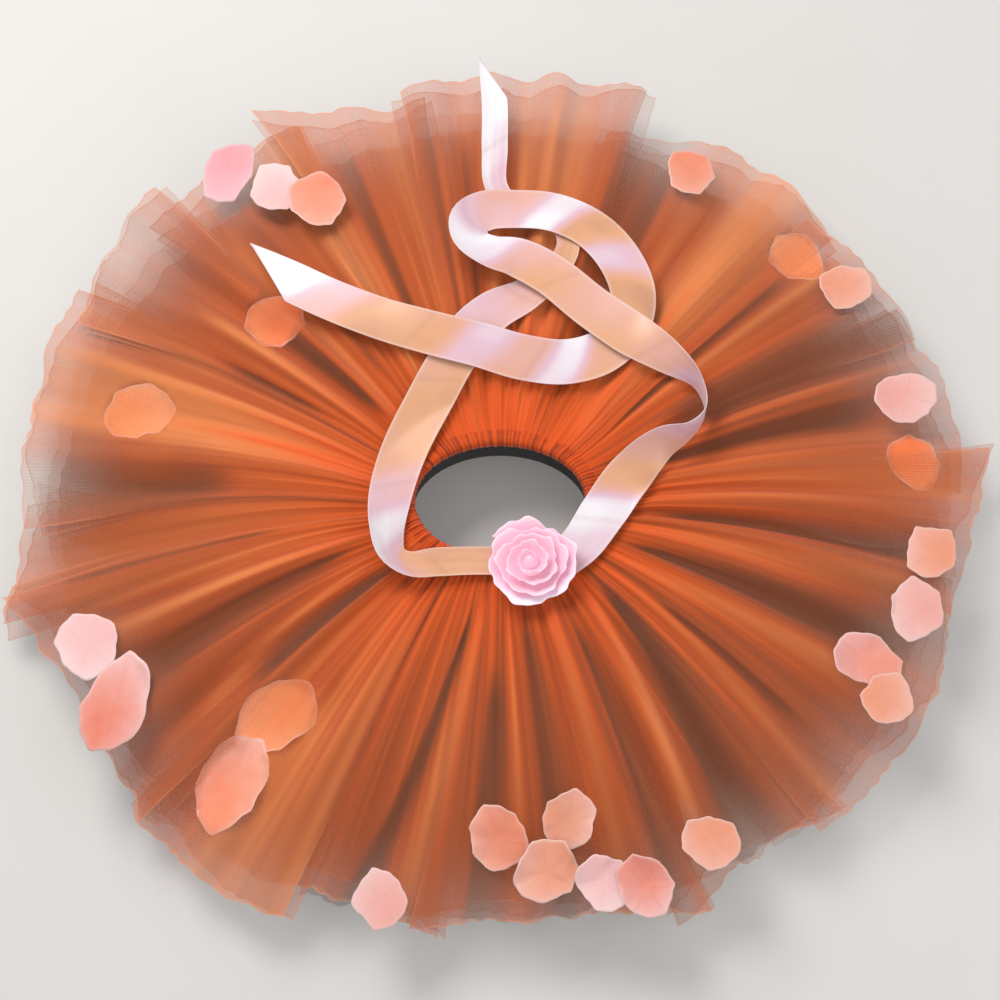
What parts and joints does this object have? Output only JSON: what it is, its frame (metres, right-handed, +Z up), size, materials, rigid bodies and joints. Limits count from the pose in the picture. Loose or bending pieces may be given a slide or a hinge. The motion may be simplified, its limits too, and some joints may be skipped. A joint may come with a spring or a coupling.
{
  "type": "tulle skirt",
  "caption": "Baby's layered tulle skirt laid open on a surface, gathered round an elastic waistband, with loose satin ties, a ribbon rosette and strewn silk petals.",
  "frame": {"origin": "under the middle of the laid-out skirt's outline, on the surface it lies on", "axes": "+Z up out of the surface, +Y away from the rosette at the front of the waist, +X to the right"},
  "size_m": [0.5472, 0.5146, 0.0822],
  "materials": {
    "tulle": "sheer orange nylon net, matt, see-through at the hem",
    "inner_tulle": "sheer orange nylon net, matt, inner layers",
    "satin": "pale pink satin, soft gloss",
    "rosette_satin": "pink ribbon, soft sheen",
    "petal_silk": "coral to pale pink silk cloth, matt",
    "elastic": "black woven elastic, matt"
  },
  "bodies": {
    "root": {"waist_elastic": "elastic", "tulle_heading": "tulle", "tulle_top_01": "tulle", "tulle_top_02": "tulle", "tulle_top_03": "tulle", "tulle_top_04": "tulle", "tulle_top_05": "tulle", "tulle_top_06": "tulle", "tulle_top_07": "tulle", "tulle_top_08": "tulle", "tulle_top_09": "tulle", "tulle_top_10": "tulle", "tulle_top_11": "tulle", "tulle_top_12": "tulle", "tulle_top_13": "tulle", "tulle_top_14": "tulle", "tulle_top_15": "tulle", "tulle_top_16": "tulle", "tulle_middle_01": "inner_tulle", "tulle_middle_02": "inner_tulle", "tulle_middle_03": "inner_tulle", "tulle_middle_04": "inner_tulle", "tulle_middle_05": "inner_tulle", "tulle_middle_06": "inner_tulle", "tulle_middle_07": "inner_tulle", "tulle_middle_08": "inner_tulle", "tulle_base_01": "inner_tulle", "tulle_base_02": "inner_tulle", "tulle_base_03": "inner_tulle", "tulle_base_04": "inner_tulle", "tulle_base_05": "inner_tulle", "tulle_base_06": "inner_tulle", "ribbon_left": "satin", "ribbon_right": "satin", "rosette": "rosette_satin", "petal_01": "petal_silk", "petal_02": "petal_silk", "petal_03": "petal_silk", "petal_04": "petal_silk", "petal_05": "petal_silk", "petal_06": "petal_silk", "petal_07": "petal_silk", "petal_08": "petal_silk", "petal_09": "petal_silk", "petal_10": "petal_silk", "petal_11": "petal_silk", "petal_12": "petal_silk", "petal_13": "petal_silk", "petal_14": "petal_silk", "petal_15": "petal_silk", "petal_16": "petal_silk", "petal_17": "petal_silk", "petal_18": "petal_silk", "petal_19": "petal_silk", "petal_20": "petal_silk", "petal_21": "petal_silk", "petal_22": "petal_silk", "petal_23": "petal_silk", "petal_24": "petal_silk", "petal_25": "petal_silk"}
  },
  "joints": []
}
